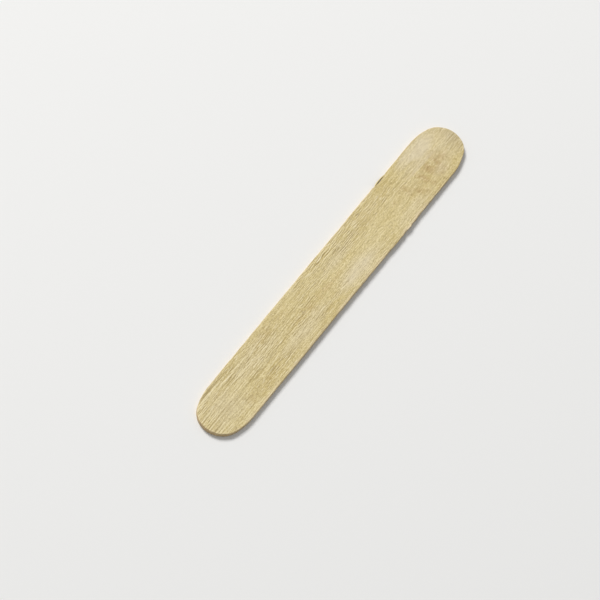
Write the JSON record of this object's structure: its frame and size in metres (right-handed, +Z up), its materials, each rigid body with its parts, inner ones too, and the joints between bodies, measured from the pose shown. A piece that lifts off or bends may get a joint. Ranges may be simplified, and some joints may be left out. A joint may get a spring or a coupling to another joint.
{
  "type": "tongue depressor",
  "caption": "Flat strip of birch veneer with straight parallel sides, rounded ends and eased edges, held at one end to press the tongue down during a throat examination.",
  "frame": {"origin": "centre of the lower broad face, the one the strip rests on", "axes": "+X along the strip from one rounded end to the other, +Y across it, +Z up through its thickness"},
  "size_m": [0.15, 0.018, 0.0016],
  "materials": {
    "birch": "matte"
  },
  "bodies": {
    "root": {"tongue_depressor": "birch"}
  },
  "joints": []
}
